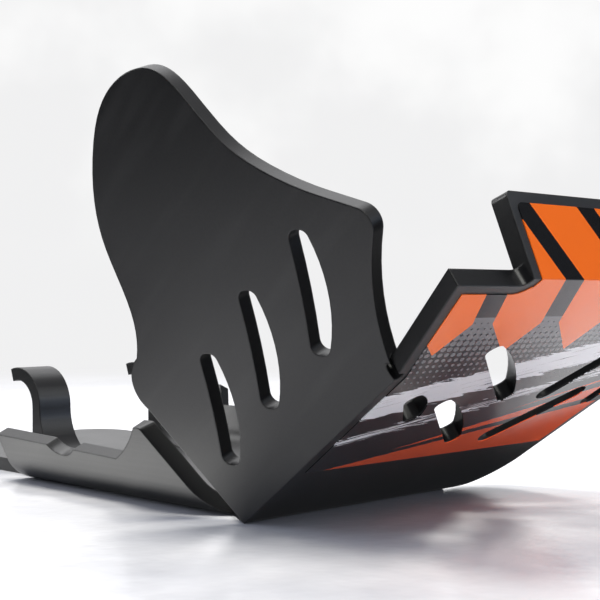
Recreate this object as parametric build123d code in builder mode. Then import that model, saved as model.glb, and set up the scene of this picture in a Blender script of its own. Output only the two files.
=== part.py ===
from build123d import *
from math import cos, radians, sin
import os

os.makedirs("parts", exist_ok=True)

# Motorcycle skid plate: one folded sheet of tough black plastic, and a printed decal on its front.
# X runs across the motorcycle, Y to the rear and Z up, and the winged side is at -X.
# The plate is drawn with its front fold on the X axis, and stands on the underside of its floor.
# Sizes are in millimetres and angles in degrees.

# Sheet
sheet = 8.0
fold_radius = 2.5

# Floor
floor_half = 75.0
floor_length = 345.0
floor_corner = 28.0
front_half = 92.0
front_bend = 14.0
side_start = 30.0

# Front panel, leaning forward over its fold, and the tab above it
panel_rise = 35.5
panel_length = 192.5
panel_flare = 26.0
side_lean = 4.6
far_corner = 34.0
tab_neck = 5.0
tab_half = 86.0
tab_height = 38.0
tab_lean = 22.0
tab_corner = 3.0
tab_root_round = 4.5

# Wing, folded up from the near side of the panel
fold_length = 128.0
wing_fold = 69.0
wing_height = 178.0
wing_heel = 72.0
wing_step_radius = 16.6
wing_brow = 9.0
relief_radius = 2.5

# Points of the wing's outline, as parts of the fold's length and the wing's height
wing_step_share = (0.133, 0.518)
wing_crest_shares = (
    (0.26, 0.60),
    (0.40, 0.79),
    (0.655, 0.95),
    (0.90, 1.0),
    (1.085, 0.937),
    (1.11, 0.80),
    (1.112, 0.66),
    (1.165, 0.54),
    (1.235, 0.443),
    (1.31, 0.36),
    (1.369, 0.29),
)
wing_front_share = (1.15, 0.167)

# Wing slots, nearly straight on their rear side and arched on the other
wing_slot_share = (0.285, 0.288)
wing_slot_length = 55.8
wing_slot_angle = 51.6
wing_slot_flat = 3.2
wing_slot_crown = 10.8
wing_slot_end = 5.0
wing_slot_bow = 1.2
wing_slot_pitch = 43.0
rear_slot_drop = 5.0

# Side flaps, rolled up from the floor
flap_angle = 65.0
flap_bend = 16.0
flap_end = 202.0
flap_top = 15.2
flap_waist = 10.8
flap_front = 36.0
slit_skew = 3.2
tooth_top = 31.4
tooth_front = 58.4
tooth_rear = 63.0
tooth_foot = 89.0
tooth_hollow = 1.6
tooth_round = 3.0
notch_place = 139.0
notch_width = 25.0
notch_depth = 5.2
far_flap_top = 30.0
far_flap_end = 303.0
far_flap_slant = 28.0

# Rear hooks, which reach over a frame tube
hook_bore = 33.0
hook_wall = 8.0
hook_width = 23.0
hook_spacing = 91.0
hook_centre_y = 253.0
hook_centre_z = 38.0
hook_past_top = 20.0
hook_heel = 12.0

# Panel slots: three on each side, slanting up and outwards
slot_flat = 3.5
slot_crown = 8.8
slot_end = 4.8
slot_round_share = 0.48
upper_slot_length = 75.6
lower_slot_length = 63.9
far_slot_length = 62.0
far_slot_width = 13.0
short_slot_length = 28.0
short_slot_width = 10.4

# Places of the slots, as parts of the panel's half-width and length, and their slants
upper_slot_share = (-0.226, 0.645)
upper_slot_slant = -37.5
lower_slot_share = (-0.19, 0.43)
lower_slot_slant = -39.5
short_slot_share = (-0.52, 0.517)
short_slot_slant = -48.0
far_upper_share = (0.34, 0.66)
far_upper_slant = 62.0
far_lower_share = (0.35, 0.43)
far_lower_slant = 48.0
far_short_share = (0.67, 0.53)
far_short_slant = 80.0

# Decal
decal_thickness = 0.4
decal_inset = 5.0
decal_foot = 49.0

tab_bend = panel_length + tab_neck
panel_plane = Plane(
    origin=(0, 0, 0),
    x_dir=(1, 0, 0),
    z_dir=(0, -sin(radians(panel_rise)), -cos(radians(panel_rise))),
)
tab_plane = Plane(
    origin=panel_plane.from_local_coords((0, tab_bend, 0)),
    x_dir=(1, 0, 0),
    z_dir=(0, -cos(radians(tab_lean)), sin(radians(tab_lean))),
)


def panel_side(up):
    """Half-width of the panel at a height up its slope, along the straight side fold."""
    return front_half + up * sin(radians(side_lean))


near_corner = panel_plane.from_local_coords((-front_half, 0, 0))
fold_top = panel_plane.from_local_coords((-panel_side(fold_length), fold_length, 0))
fold_plane = Plane(origin=near_corner, x_dir=fold_top - near_corner, z_dir=panel_plane.z_dir)
wing_plane = Plane(
    origin=near_corner,
    x_dir=fold_plane.x_dir,
    z_dir=fold_plane.z_dir * cos(radians(wing_fold)) + fold_plane.y_dir * sin(radians(wing_fold)),
)


def wing_point(along, up):
    """A point on the wing's outer face, as parts of the fold's length and the wing's height."""
    return (fold_length * along, wing_height * up)


def arched_slot(length, flat, crown, end, bow=0.0):
    """A slot along X with rounded ends, nearly straight on one side and arched on the other."""
    half = length / 2
    with BuildSketch() as slot:
        with BuildLine():
            arch = ThreePointArc((-half, end), (0, crown), (half, end))
            if bow > 0:
                straight = ThreePointArc((half, -flat - bow), (0, -flat), (-half, -flat - bow))
            else:
                straight = Line((half, -flat), (-half, -flat))
            Line(arch @ 1, straight @ 0)
            Line(straight @ 1, arch @ 0)
        make_face()
        fillet(slot.vertices(), slot_round_share * (flat + bow + end))
    return slot.sketch


flap_outer = flap_bend + sheet
flap_plane = Plane(
    origin=(
        -floor_half - flap_outer * sin(radians(flap_angle)),
        0,
        flap_outer * (1 - cos(radians(flap_angle))),
    ),
    x_dir=(0, -1, 0),
    z_dir=(-sin(radians(flap_angle)), 0, -cos(radians(flap_angle))),
)


def flap_roll(start, end):
    """The rolled corner between floor and flap on the near side."""
    section = Plane(origin=(0, start, 0), x_dir=(-1, 0, 0), z_dir=(0, 1, 0))
    with BuildPart() as roll:
        with BuildSketch(section):
            with BuildLine():
                centre = (floor_half, flap_outer)
                outer = CenterArc(centre, flap_outer, 270, flap_angle)
                inner = CenterArc(centre, flap_bend, 270, flap_angle)
                Line(outer @ 0, inner @ 0)
                Line(outer @ 1, inner @ 1)
            make_face()
        extrude(amount=end - start)
    return roll.part


# Near flap: a low wall with a rounded notch, and a tooth beside the wing.
# Its front edge slants, along the slit that parts it from the wing. The cut is skewed through the sheet.
slit_slope = (tooth_front - flap_front) / tooth_top
slit_reach = 2 * flap_outer
with BuildPart() as near_flap:
    add(flap_roll(0, flap_end))
    with BuildSketch(flap_plane):
        with BuildLine():
            hollow = SagittaArc((-tooth_foot, flap_waist), (-tooth_rear, tooth_top), -tooth_hollow)
            Polyline(
                hollow @ 1,
                (0, tooth_top),
                (0, 0),
                (-flap_end, 0),
                (-flap_end, flap_top),
                hollow @ 0,
            )
        make_face()
        notch_radius = (notch_width**2 / 4 + notch_depth**2) / (2 * notch_depth)
        notch_share = (notch_place - tooth_foot) / (flap_end - tooth_foot)
        notch_top = flap_waist + notch_share * (flap_top - flap_waist)
        with Locations((-notch_place, notch_top - notch_depth + notch_radius)):
            Circle(notch_radius, mode=Mode.SUBTRACT)
    extrude(amount=-sheet)
    with BuildSketch(flap_plane):
        with BuildLine():
            Polyline(
                (-flap_front - slit_slope * slit_reach, slit_reach),
                (-flap_front + slit_slope * slit_reach, -slit_reach),
                (sheet, -slit_reach),
                (sheet, slit_reach),
                close=True,
            )
        make_face()
    cut_way = flap_plane.x_dir * slit_skew - flap_plane.z_dir * sheet
    extrude(amount=slit_reach, dir=cut_way, both=True, mode=Mode.SUBTRACT)
    tip_middle = flap_plane.from_local_coords((slit_skew / 2 - tooth_front, tooth_top, -sheet / 2))
    fillet(near_flap.edges().sort_by_distance(tip_middle)[0], tooth_round)

# Far flap: the same wall, carried on beside the hooks, where it stands higher
rear_start = flap_end + 2 * flap_top
with BuildPart() as rear_wall:
    add(flap_roll(flap_end, far_flap_end))
    with BuildSketch(flap_plane):
        with BuildLine():
            Polyline(
                (-flap_end, 0),
                (-flap_end, flap_top),
                (-rear_start, flap_top),
                (-rear_start - sheet, far_flap_top),
                (-far_flap_end + far_flap_slant, far_flap_top),
                (-far_flap_end, 0),
                close=True,
            )
        make_face()
    extrude(amount=-sheet)

# Outline of the front panel
top_half = panel_side(fold_length) + panel_flare
with BuildSketch(panel_plane) as panel_outline:
    with BuildLine():
        Polyline(
            (-front_half, 0),
            (front_half, 0),
            (panel_side(fold_length), fold_length),
            (top_half, panel_length),
            (tab_half, panel_length),
            (tab_half, tab_bend),
            (-tab_half, tab_bend),
            (-tab_half, panel_length),
            (-top_half, panel_length),
            (-panel_side(fold_length), fold_length),
            close=True,
        )
    make_face()
    for side in (-tab_half, tab_half):
        root = panel_outline.vertices().sort_by_distance((side, panel_length, 0))[0]
        fillet(root, tab_root_round)

# Slots in the front panel, through the decal as well
with BuildSketch(panel_plane) as panel_slots:
    for length, (across, up), slant in (
        (upper_slot_length, upper_slot_share, upper_slot_slant),
        (lower_slot_length, lower_slot_share, lower_slot_slant),
        (short_slot_length, short_slot_share, short_slot_slant),
    ):
        arched = arched_slot(length, slot_flat, slot_crown, slot_end)
        with Locations((across * top_half, up * panel_length)):
            add(arched, rotation=slant)
    for length, width, (across, up), slant in (
        (far_slot_length, far_slot_width, far_upper_share, far_upper_slant),
        (far_slot_length, far_slot_width, far_lower_share, far_lower_slant),
        (short_slot_length, short_slot_width, far_short_share, far_short_slant),
    ):
        with Locations((across * top_half, up * panel_length)):
            SlotOverall(length, width, rotation=slant)

with BuildPart() as skid_plate:
    # Floor
    with BuildSketch() as floor_outline:
        with BuildLine():
            Polyline(
                (-front_half, 0),
                (front_half, 0),
                (floor_half, side_start),
                (floor_half, floor_length),
                (-floor_half, floor_length),
                (-floor_half, side_start),
                close=True,
            )
        make_face()
        fillet(floor_outline.vertices().group_by(Axis.Y)[-1], floor_corner)
    extrude(amount=sheet)

    # Front panel and tab
    extrude(panel_outline.sketch, amount=-sheet)
    with BuildSketch(tab_plane) as tab_outline:
        with Locations((0, tab_height / 2)):
            Rectangle(2 * tab_half, tab_height)
        fillet(tab_outline.vertices().group_by(Axis.Y)[-1], tab_corner)
    extrude(amount=-sheet)
    front_fold = skid_plate.edges().sort_by_distance((0, 0, 0))[0]
    fillet(front_fold, front_bend)

    # The far end of the front fold is rounded off, and the floor slants back behind it
    with BuildSketch(panel_plane) as corner_waste:
        with Locations((front_half, 0)):
            Rectangle(2 * far_corner, 1.5 * far_corner, align=(Align.CENTER, Align.MIN))
        with BuildSketch(mode=Mode.SUBTRACT) as kept:
            add(panel_outline.sketch_local)
            fillet(kept.vertices().sort_by_distance((front_half, 0, 0))[0], far_corner)
    extrude(amount=sheet + 1, both=True, mode=Mode.SUBTRACT)
    with BuildSketch():
        with BuildLine():
            Polyline(
                (front_half - far_corner, 0),
                (floor_half, side_start),
                (2 * front_half, side_start),
                (2 * front_half, 0),
                close=True,
            )
        make_face()
    extrude(amount=sheet, mode=Mode.SUBTRACT)

    # Wing
    with BuildSketch(wing_plane) as wing_outline:
        with BuildLine():
            heel = Line((0, 0), (0, wing_heel))
            foot = RadiusArc(heel @ 1, wing_point(*wing_step_share), wing_step_radius)
            crest = Spline(foot @ 1, *[wing_point(*point) for point in wing_crest_shares])
            front = ThreePointArc(crest @ 1, wing_point(*wing_front_share), (fold_length, 0))
            Line(front @ 1, (0, 0))
        make_face()
        fillet(wing_outline.vertices().sort_by_distance(crest @ 1)[0], wing_brow)
    extrude(amount=-sheet)

    # The outer corner of the side fold is rounded along its whole length
    section = Plane(origin=near_corner, x_dir=-fold_plane.y_dir, z_dir=-fold_plane.x_dir)
    half_corner = (180 - wing_fold) / 2
    back_off = fold_radius / sin(radians(half_corner))
    with BuildSketch(section):
        with BuildLine():
            on_panel = Line((0, 0), (back_off * cos(radians(half_corner)), 0))
            on_wing = PolarLine((0, 0), on_panel.length, 2 * half_corner)
            crown = PolarLine((0, 0), back_off - fold_radius, half_corner, mode=Mode.PRIVATE)
            ThreePointArc(on_panel @ 1, crown @ 1, on_wing @ 1)
        make_face()
    extrude(amount=-fold_length, mode=Mode.SUBTRACT)

    # Side flaps
    add(near_flap.part)
    mirror(near_flap.part, about=Plane.YZ)
    mirror(rear_wall.part, about=Plane.YZ)

    # Rear hooks
    throat_radius = hook_bore / 2
    crown_radius = throat_radius + hook_wall
    flare = hook_centre_z - sheet
    for side in (-1, 1):
        with BuildSketch(Plane.YZ.offset((side * hook_spacing - hook_width) / 2)):
            with BuildLine():
                centre = (hook_centre_y, hook_centre_z)
                tip = 90 - hook_past_top
                crown = CenterArc(centre, crown_radius, tip, 180 - tip)
                throat = CenterArc(centre, throat_radius, tip, 180 - tip)
                Line(crown @ 0, throat @ 0)
                front_flare = CenterArc(crown @ 1 - Vector(flare, 0), flare, 0, -90)
                stem = Line(throat @ 1, throat @ 1 - Vector(0, flare - hook_heel))
                rear_flare = CenterArc(stem @ 1 + Vector(hook_heel, 0), hook_heel, 180, 90)
                Polyline(
                    front_flare @ 1,
                    front_flare @ 1 - Vector(0, sheet / 2),
                    rear_flare @ 1 - Vector(0, sheet / 2),
                    rear_flare @ 1,
                )
            make_face()
        extrude(amount=hook_width)

    # Slots in the wing
    wing_slot = arched_slot(
        wing_slot_length, wing_slot_flat, wing_slot_crown, wing_slot_end, wing_slot_bow
    )
    rear_along, rear_up = wing_point(*wing_slot_share)
    with BuildSketch(wing_plane):
        for step in range(3):
            drop = rear_slot_drop if step == 0 else 0
            with Locations((rear_along + step * wing_slot_pitch, rear_up - drop)):
                add(wing_slot, rotation=wing_slot_angle + 180)
    extrude(amount=-2 * sheet, mode=Mode.SUBTRACT)

    # Slots in the panel, and a round relief at the top of the side fold
    extrude(panel_slots.sketch, amount=-2 * sheet, mode=Mode.SUBTRACT)
    with BuildSketch(panel_plane):
        with Locations((-panel_side(fold_length), fold_length + relief_radius / 2)):
            Circle(relief_radius)
    extrude(amount=2 * sheet, both=True, mode=Mode.SUBTRACT)

# Decal: one sticker over the panel and the tab, set in from their edges
with BuildPart() as front_decal:
    decal_half = tab_half - decal_inset
    with BuildSketch(panel_plane):
        add(panel_outline.sketch_local)
        offset(amount=-decal_inset, mode=Mode.REPLACE)
        with Locations((0, tab_bend)):
            Rectangle(2 * decal_half, 4 * decal_inset, align=(Align.CENTER, Align.MAX))
        with Locations((0, decal_foot)):
            Rectangle(4 * top_half, decal_foot, align=(Align.CENTER, Align.MAX), mode=Mode.SUBTRACT)
    extrude(amount=decal_thickness)
    with BuildSketch(tab_plane) as tab_decal:
        Rectangle(2 * decal_half, tab_height - decal_inset, align=(Align.CENTER, Align.MIN))
        fillet(tab_decal.vertices().group_by(Axis.Y)[-1], tab_corner)
    extrude(amount=decal_thickness)
    with Locations(Location(tab_plane.origin, (0, 90, 0))):
        Cylinder(decal_thickness, 2 * decal_half)
    add(skid_plate.part, mode=Mode.SUBTRACT)
    extrude(panel_slots.sketch, amount=sheet, both=True, mode=Mode.SUBTRACT)

# The finished pieces move back together, so that the origin lies under the middle of the floor
to_origin = Location((0, -floor_length / 2, 0))
skid_plate.part.move(to_origin)
front_decal.part.move(to_origin)

skid_plate.part.label = "skid_plate"
export_step(skid_plate.part, "parts/skid_plate.step")
front_decal.part.label = "front_decal"
export_step(front_decal.part, "parts/front_decal.step")
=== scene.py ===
from math import cos, pi, radians, sin

import bpy
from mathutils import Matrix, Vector

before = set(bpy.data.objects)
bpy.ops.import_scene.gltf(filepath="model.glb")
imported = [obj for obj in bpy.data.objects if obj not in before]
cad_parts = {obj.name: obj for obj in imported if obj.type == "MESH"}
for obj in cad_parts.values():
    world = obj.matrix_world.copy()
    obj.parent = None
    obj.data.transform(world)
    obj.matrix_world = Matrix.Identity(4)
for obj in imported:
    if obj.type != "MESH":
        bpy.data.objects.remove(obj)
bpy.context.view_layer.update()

# The plate in its own frame, in metres and radians
FLOOR_LENGTH = 0.345
FRONT_FOLD_Y = -FLOOR_LENGTH / 2
PANEL_RISE = radians(35.5)
TAB_BEND = 0.1975
TAB_LEAN = radians(22)
FLAP_ANGLE = radians(65)
FLAP_NORMAL = (-sin(FLAP_ANGLE), 0, -cos(FLAP_ANGLE))
WING_NORMAL = tuple(Vector((-0.931, -0.147, -0.335)).normalized())
SHEET_NORMALS = (
    (0, 0, 1),
    (0, -sin(PANEL_RISE), -cos(PANEL_RISE)),
    (0, -cos(TAB_LEAN), sin(TAB_LEAN)),
    WING_NORMAL,
    FLAP_NORMAL,
    (sin(FLAP_ANGLE), 0, -cos(FLAP_ANGLE)),
)

# The photograph's view
CAMERA_PLACE = Vector((-0.4938, FRONT_FOLD_Y - 0.4451, 0.1085))
CAMERA_HEADING = radians(-44.6)
CAMERA_DIP = radians(0.224)
CAMERA_CLIP = 0.01
SENSOR = 36.0
FOCAL_PIXELS = 1265.0
IMAGE_PIXELS = 600

# Lamps, and the soft light from the whole sky, which is weaker near the horizon
AMBIENT = 0.56
AMBIENT_LOW = 0.12
AMBIENT_RISE = (-0.05, 0.5)
AMBIENT_TINT = (0.88, 0.95, 1.17, 1)
LAMP_TARGET = (-0.05, -0.2, 0)
LAMP_SIZE = 0.35
LAMP_COLOUR = (1.0, 0.968, 0.915)
LEFT_LAMP_PLACE = (-0.30, -0.15, 1.15)
LEFT_LAMP_POWER = 9.0
BACK_LAMP_PLACE = (0.50, 0.25, 1.05)
BACK_LAMP_POWER = 8.2
FRONT_LAMP_PLACE = (-0.10, -0.80, 1.0)
FRONT_LAMP_POWER = 3.0

# Colours, linear
BLACK_PLASTIC = (0.0072, 0.0071, 0.0069, 1)
# Paler black: painted sheen in the slanting streaks, and the speckle and rolling marks
SHEEN_AND_MARK_PLASTIC = (0.0205, 0.0202, 0.0196, 1)
CUT_PLASTIC = (0.0042, 0.0042, 0.0045, 1)
INK_BLACK = (0.006, 0.006, 0.0065, 1)
INK_ORANGE = (0.92, 0.16, 0.012, 1)
INK_RED = (0.86, 0.105, 0.022, 1)
INK_WHITE = (0.80, 0.81, 0.84, 1)
INK_GREY = (0.16, 0.16, 0.165, 1)
TABLE_WHITE = (0.84, 0.84, 0.842, 1)
TABLE_GREY = (0.70, 0.705, 0.72, 1)
TABLE_GLARE = (2.5, 2.5, 2.48, 1)
BACKDROP = (0.875, 0.875, 0.88, 1)
BACKDROP_PALE = (0.985, 0.985, 0.985, 1)
BACKDROP_GLOW = (1.3, 1.3, 1.32, 1)
ROOM_DIM = (0.05, 0.052, 0.057, 1)
CEILING = (0.55, 0.55, 0.56, 1)
FAR_WALL = (0.90, 1.05, 1.35, 1)

# The room that reflections show. A pair says at which cosine to its direction a thing starts and is full.
BACKDROP_EDGE = (0.60, 0.85)
CEILING_EDGE = (0.40, 0.90)
CEILING_AHEAD = (-0.55, 0.05)
FAR_WALL_WAY = (0.56, -0.75, 0.35)
FAR_WALL_EDGE = (0.90, 0.98)
CLOUD_SCALE = 6.0
CLOUD_DETAIL = 4.0
CLOUD_EDGE = (0.42, 0.66)
CLOUD_RISE = (0.01, 0.10)

# The room's soft lights: the direction, the edge and the colour of each
SKYLIGHT = ((-0.11, 0.21, 0.97), (0.96, 0.985), (5.0, 5.0, 5.05, 1))
WINDOW = ((0.47, 0.35, 0.81), (0.93, 0.99), (1.8, 1.8, 1.83, 1))
RIGHT_LIGHT = ((0.44, -0.75, 0.49), (0.97, 0.99), (2.6, 2.6, 2.5, 1))
NEAR_LIGHT = ((-0.21, -0.54, 0.82), (0.965, 0.985), (5.0, 5.0, 4.7, 1))
BACK_LIGHT = ((0.10, 0.60, 0.79), (0.96, 0.985), (3.5, 3.5, 3.5, 1))
LEFT_LIGHT = ((-0.49, 0.75, 0.45), (0.97, 0.99), (6.0, 6.0, 6.0, 1))
ROOM_LIGHTS = (SKYLIGHT, WINDOW, RIGHT_LIGHT, NEAR_LIGHT, BACK_LIGHT, LEFT_LIGHT)

# Plastic: how square a face lies to the sheet, noise scales per metre, shares of painted sheen streaks and
# of marks, and finish
FACE_SQUARE = 0.985
FLAP_SQUARE = 0.9925
ROLL_LIMIT = 0.02
MOTTLE_SCALE = 22.0
GRAIN_SCALE = 2600.0
TOOL_LINE_SCALE = 1440.0
STREAK_WAY = (-0.098, -0.787, 0.615)
STREAK_ACROSS = (-0.354, 0.605, 0.718)
STREAK_SCALES = (75.0, 9.0)
STREAK_EDGE = (0.48, 0.74)
STREAK_SHARE = 0.60
SPECKLE_SCALE = 950.0
SPECKLE_EDGE = (0.30, 0.70)
SPECKLE_SHARE = 0.22
ROLLING_SCALES = (420.0, 9.0)
ROLLING_EDGE = (0.40, 0.70)
ROLLING_SHARE = 0.5
PLASTIC_ROUGHNESS = 0.33
MOTTLE_ROUGHNESS = 0.08
GRAIN_ROUGHNESS = 0.05
CUT_SMOOTHNESS = 0.08
PLASTIC_SPECULAR = 0.59
EDGE_ROUND = 0.0011
BEVEL_SAMPLES = 6
PLASTIC_BUMP = 0.10
PLASTIC_BUMP_DEPTH = 0.0004
GRAIN_HEIGHT = 0.6
TOOL_LINE_HEIGHT = 0.8

# The print on the decal, in millimetres across the panel and up its slope
MILLIMETRES = 1000.0
RAGGED_SCALES = (0.05, 0.5)
FINE_SCALE = 0.6
BAR_BASE = 140.0
BAR_SLANT = 0.62
BAR_PITCH = 47.0
BAR_SHIFT = 0.35
BAR_SHARE = 0.72
BAR_FOOT = 145.0
BAR_POINT = 62.0
SWEEP_SLOPE = 0.30
SWEEP_BAND = (122.0, 143.0)
SWEEP_RAGGED = 16.0
SWEEP_COVER = 0.38
LOW_SWEEP_BAND = (99.0, 107.0)
LOW_SWEEP_RAGGED = 3.0
LOW_SWEEP_COVER = 0.50
BRISTLE_SCALES = (0.018, 0.9)
SHARD_POINT = 84.0
SHARD_RAGGED = 1.6
DOT_PITCH = 4.2
DOT_LEAN = 0.5
DOT_FOOT = 112.0
DOT_TOP = 172.0
DOT_GROWTH = 0.011

# Lower and upper edge of each shard: its slope, and its height at the shards' common point
SHARDS = (
    ((0.0, 40.0), (0.24, 48.0)),
    ((0.26, 51.0), (0.36, 47.0)),
    ((0.39, 50.0), (0.43, 46.0)),
)

# Finish of the decal's film
PEEL_SCALE = 420.0
PEEL_ROUGHNESS = 0.05
FILM_ROUGHNESS = 0.11
FILM_SPECULAR = 0.5
FILM_BUMP = 0.04
FILM_BUMP_DEPTH = 0.0003

# Table
TABLE_HALF = 6.0
VEIN_SCALE = 7.0
VEIN_EDGE = (0.42, 0.66)
VEIN_ROUGHNESS = 0.16
TABLE_ROUGHNESS = 0.14
TABLE_SPECULAR = 0.12
RIPPLE_SCALE = 28.0
RIPPLE_BUMP = 0.3
RIPPLE_DEPTH = 0.003
TABLE_END = (0.45, 1.1)

# Where the table looks dim in reflections, in metres. A pair says where a zone starts and is full,
# and two pairs say where it rises and where it fades again.
FAR_LEFT = (0.24, 0.52)
FLAP_LEFT = ((0.14, 0.18), (0.27, 0.33))
FLAP_START = (-0.05, 0.0)
FOLD_SIDE = (-0.10, -0.08)
FOLD_FRONT = (-0.205, -0.185)
FOLD_REAR = (-0.05, 0.0)
FOLD_SKEW = 0.15
WING_LEFT = ((0.10, 0.12), (0.19, 0.23))
WING_START = (-0.28, -0.22)
WING_RAY = (0.16, 0.22)
REAR_SLOPE = 0.3
REAR_REACH = 0.14
REAR_FADE = (0.0, 0.06)
REAR_START = (0.30, 0.45)
REAR_LEFT = (0.02, 0.06)

# Where the table glares in the near flap's reflection, in metres
GLARE_LEFT = ((0.09, 0.108), (0.14, 0.17))
GLARE_LENGTH = ((-0.17, -0.12), (0.06, 0.10))
GLARE_RAY = (0.06, 0.14)


class Field:
    """A number that varies over a surface, worked out by shader nodes."""

    def __init__(self, tree, socket):
        self.tree = tree
        self.socket = socket

    def math(self, operation, *others):
        node = self.tree.nodes.new("ShaderNodeMath")
        node.operation = operation
        for place, value in zip(node.inputs, (self, *others)):
            if isinstance(value, Field):
                self.tree.links.new(value.socket, place)
            else:
                place.default_value = value
        return Field(self.tree, node.outputs[0])

    def __add__(self, other):
        return self.math("ADD", other)

    def __sub__(self, other):
        return self.math("SUBTRACT", other)

    def __mul__(self, other):
        return self.math("MULTIPLY", other)

    def __truediv__(self, other):
        return self.math("DIVIDE", other)

    def __gt__(self, other):
        return self.math("GREATER_THAN", other)

    def __lt__(self, other):
        return self.math("LESS_THAN", other)

    def abs(self):
        return self.math("ABSOLUTE")

    def fract(self):
        return self.math("FRACT")

    def root(self):
        return self.math("SQRT")

    def least(self, other):
        return self.math("MINIMUM", other)

    def most(self, other):
        return self.math("MAXIMUM", other)

    def opposite(self):
        """What the number lacks to 1."""
        return self * -1.0 + 1.0

    def step(self, low, high):
        """0 below low, 1 above high and a smooth rise between them."""
        node = self.tree.nodes.new("ShaderNodeMapRange")
        node.interpolation_type = "SMOOTHSTEP"
        self.tree.links.new(self.socket, node.inputs["Value"])
        node.inputs["From Min"].default_value = low
        node.inputs["From Max"].default_value = high
        return Field(self.tree, node.outputs["Result"])

    def zone(self, rise, fade):
        """1 from the end of the rise to the start of the fade, and 0 outside them."""
        return self.step(*rise) - self.step(*fade)

    def between(self, low, high):
        """1 where the number lies between low and high, which may vary too."""
        return (self > low) * (self < high)


class Look:
    """A material under construction: its node tree, its surface shader and a few helpers."""

    def __init__(self, name):
        self.material = bpy.data.materials.new(name)
        self.material.use_nodes = True
        self.tree = self.material.node_tree
        self.shader = self.tree.nodes["Principled BSDF"]

    def node(self, kind, **settings):
        node = self.tree.nodes.new(kind)
        for key, value in settings.items():
            setattr(node, key, value)
        return node

    def link(self, source, target):
        self.tree.links.new(source.socket if isinstance(source, Field) else source, target)

    def fill(self, value, target):
        """Sets a socket to a colour, or links it to another socket."""
        if isinstance(value, tuple):
            target.default_value = value
        else:
            self.link(value, target)

    def object_vector(self):
        return self.node("ShaderNodeTexCoord").outputs["Object"]

    def place(self):
        """The surface point in the frame, as three fields in metres."""
        split = self.node("ShaderNodeSeparateXYZ")
        self.link(self.object_vector(), split.inputs[0])
        return [Field(self.tree, out) for out in split.outputs]

    def along(self, direction):
        """How far the surface point lies along a direction in the frame, in metres."""
        x, y, z = self.place()
        return x * direction[0] + y * direction[1] + z * direction[2]

    def facing(self, direction):
        """How far the surface's true normal points along a direction, from -1 to 1."""
        normal = self.node("ShaderNodeNewGeometry").outputs["True Normal"]
        dot = self.node("ShaderNodeVectorMath", operation="DOT_PRODUCT")
        self.link(normal, dot.inputs[0])
        dot.inputs[1].default_value = direction
        return Field(self.tree, dot.outputs["Value"])

    def joined(self, x, y, z):
        """A vector from three fields or numbers."""
        joined = self.node("ShaderNodeCombineXYZ")
        for value, target in zip((x, y, z), joined.inputs):
            if isinstance(value, Field):
                self.link(value, target)
            else:
                target.default_value = value
        return joined.outputs[0]

    def noise(self, vector, scale, detail=2.0, roughness=0.5):
        node = self.node("ShaderNodeTexNoise")
        self.link(vector, node.inputs["Vector"])
        node.inputs["Scale"].default_value = scale
        node.inputs["Detail"].default_value = detail
        node.inputs["Roughness"].default_value = roughness
        return Field(self.tree, node.outputs["Fac"])

    def mix(self, share, first, second):
        """A colour between two colours, by a field."""
        node = self.node("ShaderNodeMix", data_type="RGBA")
        self.link(share, node.inputs[0])
        self.fill(first, node.inputs[6])
        self.fill(second, node.inputs[7])
        return node.outputs[2]

    def finish(self, colour, roughness, specular):
        """Sets the shader's colour, its roughness and its specular level."""
        self.link(colour, self.shader.inputs["Base Color"])
        self.link(roughness, self.shader.inputs["Roughness"])
        self.shader.inputs["Specular IOR Level"].default_value = specular

    def bump(self, height, strength, depth):
        """Bumps the surface by a height field, and returns the node."""
        node = self.node("ShaderNodeBump")
        node.inputs["Strength"].default_value = strength
        node.inputs["Distance"].default_value = depth
        self.link(height, node.inputs["Height"])
        self.link(node.outputs[0], self.shader.inputs["Normal"])
        return node

    def glow_over(self, surface, share, colour):
        """A surface that glows with a colour instead, by a field."""
        glow = self.node("ShaderNodeEmission")
        glow.inputs["Color"].default_value = colour
        blend = self.node("ShaderNodeMixShader")
        self.link(share, blend.inputs[0])
        self.link(surface.outputs[0], blend.inputs[1])
        self.link(glow.outputs[0], blend.inputs[2])
        return blend


def sheet_face(look):
    """1 on the faces and rolled bends of the sheet, and 0 on its cut edges."""
    square = look.facing(SHEET_NORMALS[0]).abs()
    for normal in SHEET_NORMALS[1:]:
        square = square.most(look.facing(normal).abs())
    rolled = look.facing((0, 1, 0)).abs() < ROLL_LIMIT
    return (square > FACE_SQUARE).most(rolled)


def sheen_streaks_and_marks(look, face):
    """Faint paler slanting streaks of painted sheen and speckle on the faces, and rolling marks along the
    near flap.
    """
    x, y, z = look.place()
    across, way = STREAK_SCALES
    # Slanting streaks of painted sheen
    streak_place = look.joined(look.along(STREAK_ACROSS) * across, look.along(STREAK_WAY) * way, 0.0)
    streaks = look.noise(streak_place, 1.0).step(*STREAK_EDGE)
    speckle = look.noise(look.object_vector(), SPECKLE_SCALE, detail=1.0).step(*SPECKLE_EDGE)
    around, along = ROLLING_SCALES
    rolling_place = look.joined(x * around, y * along, z * around)
    rolling = look.noise(rolling_place, 1.0).step(*ROLLING_EDGE)
    on_flap = look.facing(FLAP_NORMAL) > FLAP_SQUARE
    on_faces = (streaks * STREAK_SHARE + speckle * SPECKLE_SHARE) * face
    return (on_faces + rolling * on_flap * ROLLING_SHARE).least(1.0)


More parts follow.
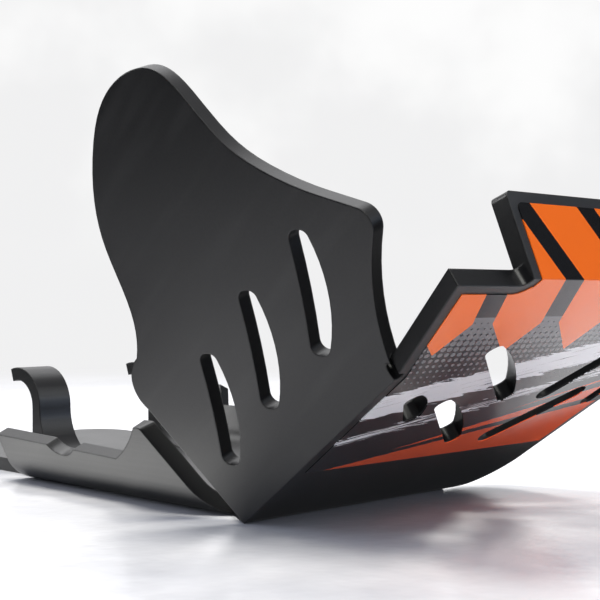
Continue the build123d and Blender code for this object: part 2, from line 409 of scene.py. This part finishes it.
def plastic_look():
    """Tough black sheet: satin and grained faces with faint painted sheen streaks, and smoother cut edges
    with tool lines.
    """
    look = Look("black_plastic")
    face = sheet_face(look)
    cut = face.opposite()
    mottle = look.noise(look.object_vector(), MOTTLE_SCALE, detail=3.0)
    grain = look.noise(look.object_vector(), GRAIN_SCALE)
    tool_lines = look.noise(look.object_vector(), TOOL_LINE_SCALE)

    # The paler colour paints sheen along the slanting streaks, and also colours the speckle and the flap's
    # rolling marks
    colour = look.mix(sheen_streaks_and_marks(look, face), BLACK_PLASTIC, SHEEN_AND_MARK_PLASTIC)
    colour = look.mix(cut, colour, CUT_PLASTIC)
    rough = mottle * MOTTLE_ROUGHNESS + PLASTIC_ROUGHNESS - cut * CUT_SMOOTHNESS + grain * GRAIN_ROUGHNESS
    look.finish(colour, rough, PLASTIC_SPECULAR)

    height = grain * GRAIN_HEIGHT + tool_lines * cut * TOOL_LINE_HEIGHT
    bump = look.bump(height, PLASTIC_BUMP, PLASTIC_BUMP_DEPTH)
    bevel = look.node("ShaderNodeBevel", samples=BEVEL_SAMPLES)
    bevel.inputs["Radius"].default_value = EDGE_ROUND
    look.link(bevel.outputs[0], bump.inputs["Normal"])
    return look.material


def print_place(look):
    """The place on the decal: millimetres across it, and millimetres up the slope and then the tab."""
    x, y, z = look.place()
    slope_up = ((y - FRONT_FOLD_Y) * -cos(PANEL_RISE) + z * sin(PANEL_RISE)) * MILLIMETRES
    bend_y = FRONT_FOLD_Y - TAB_BEND * cos(PANEL_RISE)
    bend_z = TAB_BEND * sin(PANEL_RISE)
    tab_up = ((y - bend_y) * sin(TAB_LEAN) + (z - bend_z) * cos(TAB_LEAN)) * MILLIMETRES
    on_tab = z > bend_z
    up = slope_up + on_tab * (tab_up + TAB_BEND * MILLIMETRES - slope_up)
    return x * MILLIMETRES, up


def print_bars(across, up):
    """Bold slanted bars at the top, each with a pointed lower end."""
    lean = across + (up - BAR_BASE) * BAR_SLANT
    phase = (lean / BAR_PITCH + BAR_SHIFT).fract()
    point = (phase - BAR_SHARE / 2).abs() * BAR_POINT + BAR_FOOT
    return (phase < BAR_SHARE) * (up > point)


def print_brush(look, across, up, ragged):
    """Two dry-brush sweeps through the middle, one broad and one narrow."""
    fine = look.noise(look.joined(across * FINE_SCALE, up * FINE_SCALE, 0.0), 1.0, detail=3.0) - 0.5
    sweep = up - across * SWEEP_SLOPE
    bristle_place = look.joined(across * BRISTLE_SCALES[0], sweep * BRISTLE_SCALES[1], 0.0)
    bristles = look.noise(bristle_place, 1.0, detail=3.0, roughness=0.7)
    edge = sweep + ragged * SWEEP_RAGGED
    broad = edge.between(*SWEEP_BAND) * (bristles > SWEEP_COVER)
    narrow = (edge + fine * LOW_SWEEP_RAGGED).between(*LOW_SWEEP_BAND) * (bristles > LOW_SWEEP_COVER)
    return broad.most(narrow)


def print_shards(across, up, ragged):
    """Long shards low down, which start as points on the near side and widen."""
    reach = across + SHARD_POINT
    rise = up + ragged * SHARD_RAGGED
    shards = rise * 0.0
    for (low_slope, low_start), (high_slope, high_start) in SHARDS:
        shard = rise.between(reach * low_slope + low_start, reach * high_slope + high_start)
        shards = shards.most(shard)
    return shards


def print_dots(across, up):
    """Rows of dots that shrink away under the bars."""
    dot_x = ((across + up * DOT_LEAN) / DOT_PITCH).fract() - 0.5
    dot_y = (up / DOT_PITCH).fract() - 0.5
    distance = (dot_x * dot_x + dot_y * dot_y).root()
    return (distance < (up - DOT_FOOT) * DOT_GROWTH) * (up < DOT_TOP)


def decal_look():
    """Printed film: a generic racing print in orange, white and grey on black."""
    look = Look("printed_film")
    across, up = print_place(look)
    ragged_place = look.joined(across * RAGGED_SCALES[0], up * RAGGED_SCALES[1], 0.0)
    ragged = look.noise(ragged_place, 1.0, detail=4.0, roughness=0.65) - 0.5

    colour = look.mix(print_dots(across, up), INK_BLACK, INK_GREY)
    colour = look.mix(print_brush(look, across, up, ragged), colour, INK_WHITE)
    colour = look.mix(print_shards(across, up, ragged), colour, INK_RED)
    colour = look.mix(print_bars(across, up), colour, INK_ORANGE)

    peel = look.noise(look.object_vector(), PEEL_SCALE, detail=1.0)
    look.finish(colour, peel * PEEL_ROUGHNESS + FILM_ROUGHNESS, FILM_SPECULAR)
    look.bump(peel, FILM_BUMP, FILM_BUMP_DEPTH)
    return look.material


def dim_table(x, y, ray_length):
    """1 where the table looks dim in reflections, as if the room's dark side lay there."""
    left = x * -1.0
    far_left = left.step(*FAR_LEFT)
    behind_flap = left.zone(*FLAP_LEFT) * y.step(*FLAP_START)
    under_fold = (y + x * FOLD_SKEW).step(*FOLD_FRONT) - y.step(*FOLD_REAR)
    along_fold = x.step(*FOLD_SIDE) * under_fold
    beside_wing = left.zone(*WING_LEFT) * y.step(*WING_START) * ray_length.step(*WING_RAY)
    far_behind = (y * REAR_SLOPE - left + REAR_REACH).step(*REAR_FADE)
    far_behind = far_behind * y.step(*REAR_START) * left.step(*REAR_LEFT)
    return far_left.most(behind_flap).most(along_fold).most(beside_wing).most(far_behind)


def glaring_table(x, y, ray_length):
    """1 where the near flap mirrors the bright table beside it."""
    left = x * -1.0
    return left.zone(*GLARE_LEFT) * y.zone(*GLARE_LENGTH) * ray_length.step(*GLARE_RAY).opposite()


def table_look():
    """Pale table top that turns into the backdrop some way from the plate."""
    look = Look("table_top")
    x, y, _ = look.place()
    veins = look.noise(look.object_vector(), VEIN_SCALE, detail=4.0, roughness=0.6)
    colour = look.mix(veins.step(*VEIN_EDGE), TABLE_WHITE, TABLE_GREY)
    look.finish(colour, veins * VEIN_ROUGHNESS + TABLE_ROUGHNESS, TABLE_SPECULAR)
    ripple = look.noise(look.object_vector(), RIPPLE_SCALE, detail=3.0)
    look.bump(ripple, RIPPLE_BUMP, RIPPLE_DEPTH)

    path = look.node("ShaderNodeLightPath")
    seen = Field(look.tree, path.outputs["Is Camera Ray"])
    reflected = Field(look.tree, path.outputs["Is Glossy Ray"])
    ray_length = Field(look.tree, path.outputs["Ray Length"])
    away = (x * x + y * y).root().step(*TABLE_END)
    surface = look.glow_over(look.shader, away * seen, BACKDROP)
    surface = look.glow_over(surface, dim_table(x, y, ray_length) * reflected, ROOM_DIM)
    surface = look.glow_over(surface, glaring_table(x, y, ray_length) * reflected, TABLE_GLARE)
    look.link(surface.outputs[0], look.tree.nodes["Material Output"].inputs["Surface"])
    return look.material


def dress(node, material):
    """Gives a CAD node one material."""
    node.data.materials.clear()
    node.data.materials.append(material)


def make_table():
    """A broad table top under the plate."""
    half = TABLE_HALF
    mesh = bpy.data.meshes.new("table")
    corners = [(-half, -half, 0), (half, -half, 0), (half, half, 0), (-half, half, 0)]
    mesh.from_pydata(corners, [], [(0, 1, 2, 3)])
    mesh.materials.append(table_look())
    table = bpy.data.objects.new("table", mesh)
    bpy.context.scene.collection.objects.link(table)


class Sky:
    """The world under construction: its node tree and a few helpers."""

    def __init__(self, name):
        world = bpy.data.worlds.new(name)
        bpy.context.scene.world = world
        world.use_nodes = True
        self.tree = world.node_tree
        self.tree.nodes.remove(self.tree.nodes["Background"])
        self.direction = self.tree.nodes.new("ShaderNodeTexCoord").outputs["Generated"]

    def glowing(self, colour, strength=1.0):
        background = self.tree.nodes.new("ShaderNodeBackground")
        background.inputs["Color"].default_value = colour
        background.inputs["Strength"].default_value = strength
        return background

    def towards(self, heading):
        """The cosine of the angle between the ray and a direction."""
        dot = self.tree.nodes.new("ShaderNodeVectorMath")
        dot.operation = "DOT_PRODUCT"
        self.tree.links.new(self.direction, dot.inputs[0])
        dot.inputs[1].default_value = heading
        return Field(self.tree, dot.outputs["Value"])

    def clouds(self):
        """Soft noise over the sky."""
        noise = self.tree.nodes.new("ShaderNodeTexNoise")
        self.tree.links.new(self.direction, noise.inputs["Vector"])
        noise.inputs["Scale"].default_value = CLOUD_SCALE
        noise.inputs["Detail"].default_value = CLOUD_DETAIL
        return Field(self.tree, noise.outputs["Fac"])

    def mixed(self, share, first, second):
        mix = self.tree.nodes.new("ShaderNodeMixShader")
        self.tree.links.new(share.socket, mix.inputs[0])
        self.tree.links.new(first.outputs[0], mix.inputs[1])
        self.tree.links.new(second.outputs[0], mix.inputs[2])
        return mix

    def show(self, shader):
        self.tree.links.new(shader.outputs[0], self.tree.nodes["World Output"].inputs["Surface"])


def room(sky):
    """What reflections show: a pale backdrop, a dim room, a ceiling, a far wall and soft lights."""
    ahead = sky.towards((-sin(CAMERA_HEADING), cos(CAMERA_HEADING), 0))
    overhead = sky.towards((0, 0, 1)).step(*CEILING_EDGE) * ahead.step(*CEILING_AHEAD)
    far_wall = sky.towards(FAR_WALL_WAY).step(*FAR_WALL_EDGE)
    shown = sky.mixed(ahead.step(*BACKDROP_EDGE), sky.glowing(ROOM_DIM), sky.glowing(BACKDROP_GLOW))
    shown = sky.mixed(far_wall, shown, sky.glowing(FAR_WALL))
    shown = sky.mixed(overhead, shown, sky.glowing(CEILING))
    for way, edge, colour in ROOM_LIGHTS:
        shown = sky.mixed(sky.towards(way).step(*edge), shown, sky.glowing(colour))
    return shown


def make_world():
    """Soft light from above, the room for reflections, and a faintly clouded backdrop for the camera."""
    sky = Sky("studio")
    path = sky.tree.nodes.new("ShaderNodeLightPath")
    seen = Field(sky.tree, path.outputs["Is Camera Ray"])
    glossy = Field(sky.tree, path.outputs["Is Glossy Ray"])
    reflected = glossy.most(Field(sky.tree, path.outputs["Is Transmission Ray"]))

    upward = sky.towards((0, 0, 1))
    low_light = sky.glowing(AMBIENT_TINT, AMBIENT_LOW)
    ambient = sky.mixed(upward.step(*AMBIENT_RISE), low_light, sky.glowing(AMBIENT_TINT, AMBIENT))
    cloudy = sky.clouds().step(*CLOUD_EDGE) * upward.step(*CLOUD_RISE)
    backdrop = sky.mixed(cloudy, sky.glowing(BACKDROP), sky.glowing(BACKDROP_PALE))
    unseen = sky.mixed(reflected, ambient, room(sky))
    sky.show(sky.mixed(seen, unseen, backdrop))


def make_lamp(name, place, power):
    """A soft square lamp that looks at the plate and stays out of reflections."""
    data = bpy.data.lights.new(name, "AREA")
    data.size = LAMP_SIZE
    data.energy = power
    data.color = LAMP_COLOUR
    lamp = bpy.data.objects.new(name, data)
    lamp.location = place
    lamp.visible_glossy = False
    lamp.rotation_euler = (Vector(LAMP_TARGET) - Vector(place)).to_track_quat("-Z", "Y").to_euler()
    bpy.context.scene.collection.objects.link(lamp)


def make_camera():
    """The camera, low in front of the plate and on its winged side."""
    data = bpy.data.cameras.new("camera")
    data.sensor_width = SENSOR
    data.lens = SENSOR * FOCAL_PIXELS / IMAGE_PIXELS
    data.clip_start = CAMERA_CLIP
    camera = bpy.data.objects.new("camera", data)
    camera.location = CAMERA_PLACE
    camera.rotation_euler = (pi / 2 - CAMERA_DIP, 0, CAMERA_HEADING)
    bpy.context.scene.collection.objects.link(camera)
    bpy.context.scene.camera = camera


dress(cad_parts["skid_plate"], plastic_look())
dress(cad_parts["front_decal"], decal_look())
make_table()
make_world()
make_lamp("left_lamp", LEFT_LAMP_PLACE, LEFT_LAMP_POWER)
make_lamp("back_lamp", BACK_LAMP_PLACE, BACK_LAMP_POWER)
make_lamp("front_lamp", FRONT_LAMP_PLACE, FRONT_LAMP_POWER)
make_camera()
bpy.context.scene.view_settings.view_transform = "Standard"
